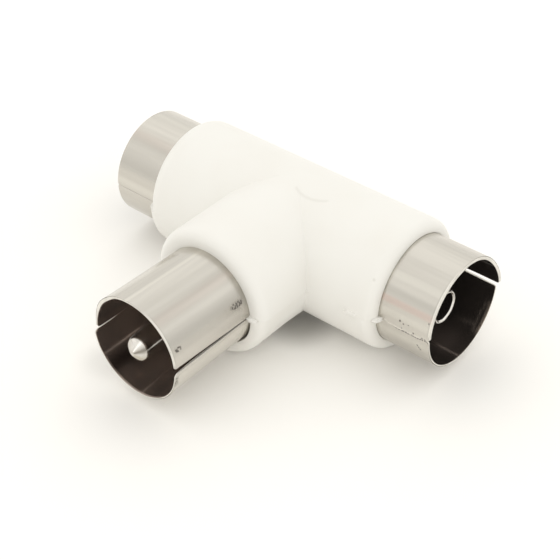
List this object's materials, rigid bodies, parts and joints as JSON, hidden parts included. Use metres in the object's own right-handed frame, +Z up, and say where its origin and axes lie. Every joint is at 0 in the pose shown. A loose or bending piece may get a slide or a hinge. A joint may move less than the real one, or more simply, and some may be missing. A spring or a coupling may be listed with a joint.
{
  "type": "coaxial splitter",
  "caption": "T-shaped aerial splitter: a white moulded body with a plug on its stem and a socket at each end of its run, for sharing a lead.",
  "frame": {"origin": "middle of the footprint, on the surface the splitter lies on; the three port axes cross 7.6 mm toward +Y from it and 6.3 mm above it", "axes": "+X along the run toward the right socket, -Y along the stem toward the plug, +Z up"},
  "size_m": [0.0366, 0.0278, 0.0126],
  "materials": {
    "moulded_body": "warm white, satin, straight from the mould",
    "upper_shield": "nickel plated sheet",
    "lower_shield": "nickel plated sheet",
    "left_insulator": "black, satin",
    "right_insulator": "black, satin",
    "plug_insulator": "black, satin",
    "socket_strip": "nickel plated",
    "plug_pin": "nickel plated, turned"
  },
  "bodies": {
    "root": {"moulded_body": "moulded_body", "upper_shield": "upper_shield", "lower_shield": "lower_shield", "left_insulator": "left_insulator", "right_insulator": "right_insulator", "plug_insulator": "plug_insulator", "socket_strip": "socket_strip", "plug_pin": "plug_pin"}
  },
  "joints": []
}
